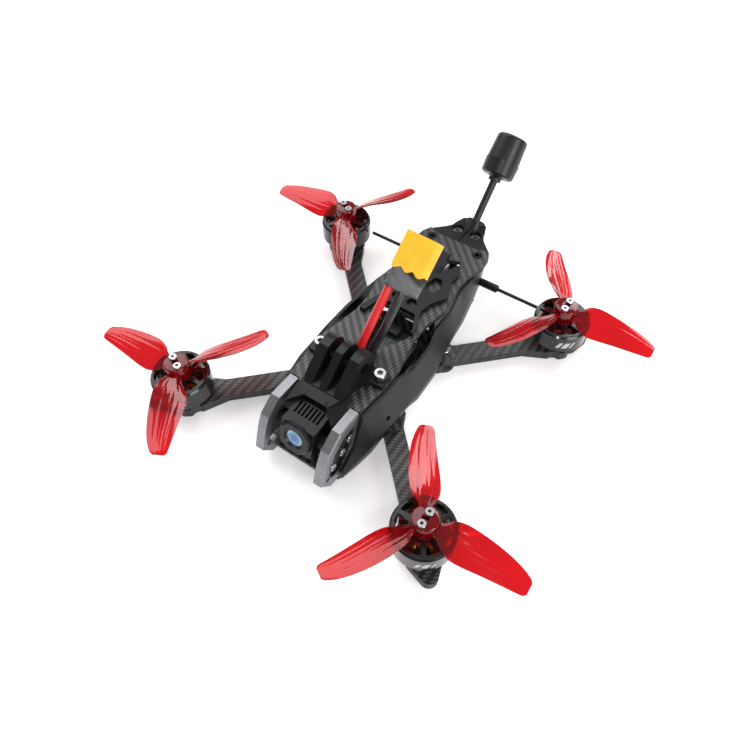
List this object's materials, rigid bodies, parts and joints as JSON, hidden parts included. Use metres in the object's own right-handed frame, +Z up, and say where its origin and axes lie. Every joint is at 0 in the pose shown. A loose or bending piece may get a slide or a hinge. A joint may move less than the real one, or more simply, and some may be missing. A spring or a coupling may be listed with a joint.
{
  "type": "fpv racing drone",
  "caption": "Small carbon-framed quadcopter with three-bladed propellers, a tilting nose camera, an action camera mount, a leaning video antenna and a battery lead.",
  "frame": {"origin": "centre of the bottom plate's underside, midway between the four motors", "axes": "+Z up along the propeller axes, nose towards -Y, the drone's own left towards +X"},
  "size_m": [0.2209, 0.2377, 0.0831],
  "materials": {
    "antenna_black": "satin black plastic",
    "bell_black": "black anodised",
    "black_soft": "matte black soft print",
    "board_green": "printed circuit board",
    "camera_black": "black camera case",
    "carbon": "woven carbon fibre, satin",
    "connector_grey": "grey sheath",
    "connector_yellow": "yellow nylon",
    "contact_brass": "gold-plated brass",
    "lead_black": "black silicone",
    "lead_red": "red silicone",
    "lens_glass": "coated lens glass",
    "motor_black": "black anodised aluminium",
    "moulded_black": "matte black moulded plastic",
    "prop_red": "clear red, glossy",
    "silver_aluminium": "satin, bead blasted",
    "stator_red": "laminated steel with red insulation",
    "steel": "bright steel"
  },
  "bodies": {
    "frame": {"action_camera_mount": "black_soft", "antenna_mast": "antenna_black", "antenna_shell_lower": "antenna_black", "antenna_shell_upper": "antenna_black", "antenna_sleeves": "black_soft", "arm_bolts": "steel", "arm_front_left": "carbon", "arm_front_right": "carbon", "arm_rear_left": "carbon", "arm_rear_right": "carbon", "battery_lead_black": "lead_black", "battery_lead_red": "lead_red", "battery_pad": "black_soft", "bottom_plate": "carbon", "camera_plate_left": "silver_aluminium", "camera_plate_right": "silver_aluminium", "connector_cap": "connector_grey", "connector_contacts": "contact_brass", "flat_screws": "steel", "flight_controller": "board_green", "hex_nuts": "steel", "mid_plate": "carbon", "motor_bases": "motor_black", "motor_bearings": "steel", "motor_screws": "steel", "motor_stators": "stator_red", "mount_screws": "steel", "plate_inserts": "black_soft", "plate_screws": "steel", "power_connector": "connector_yellow", "receiver": "board_green", "receiver_antenna": "antenna_black", "side_panel_left": "moulded_black", "side_panel_right": "moulded_black", "speed_controller": "board_green", "stack_screws": "steel", "standoffs": "motor_black", "tail_mount": "black_soft", "top_plate": "carbon", "video_transmitter": "motor_black"},
    "rotor_front_left": {"motor_bell_front_left": "bell_black", "motor_shaft_front_left": "steel", "propeller_front_left": "prop_red", "prop_screws_front_left": "steel"},
    "rotor_front_right": {"motor_bell_front_right": "bell_black", "motor_shaft_front_right": "steel", "propeller_front_right": "prop_red", "prop_screws_front_right": "steel"},
    "rotor_rear_left": {"motor_bell_rear_left": "bell_black", "motor_shaft_rear_left": "steel", "propeller_rear_left": "prop_red", "prop_screws_rear_left": "steel"},
    "rotor_rear_right": {"motor_bell_rear_right": "bell_black", "motor_shaft_rear_right": "steel", "propeller_rear_right": "prop_red", "prop_screws_rear_right": "steel"},
    "camera": {"camera_case": "camera_black", "lens_bezel": "camera_black", "lens_barrel": "motor_black", "lens_glass": "lens_glass"}
  },
  "joints": [
    {"name": "front_left_spin", "type": "hinge", "parent": "frame", "child": "rotor_front_left", "pos_m": [0.066, -0.066, 0.024], "axis": [0, 0, 1], "continuous": true},
    {"name": "front_right_spin", "type": "hinge", "parent": "frame", "child": "rotor_front_right", "pos_m": [-0.066, -0.066, 0.024], "axis": [0, 0, 1], "continuous": true},
    {"name": "rear_left_spin", "type": "hinge", "parent": "frame", "child": "rotor_rear_left", "pos_m": [0.066, 0.066, 0.024], "axis": [0, 0, 1], "continuous": true},
    {"name": "rear_right_spin", "type": "hinge", "parent": "frame", "child": "rotor_rear_right", "pos_m": [-0.066, 0.066, 0.024], "axis": [0, 0, 1], "continuous": true},
    {"name": "camera_tilt", "type": "hinge", "parent": "frame", "child": "camera", "pos_m": [0, -0.0558, 0.0202], "axis": [1, 0, 0], "range_deg": [-20, 14]}
  ]
}
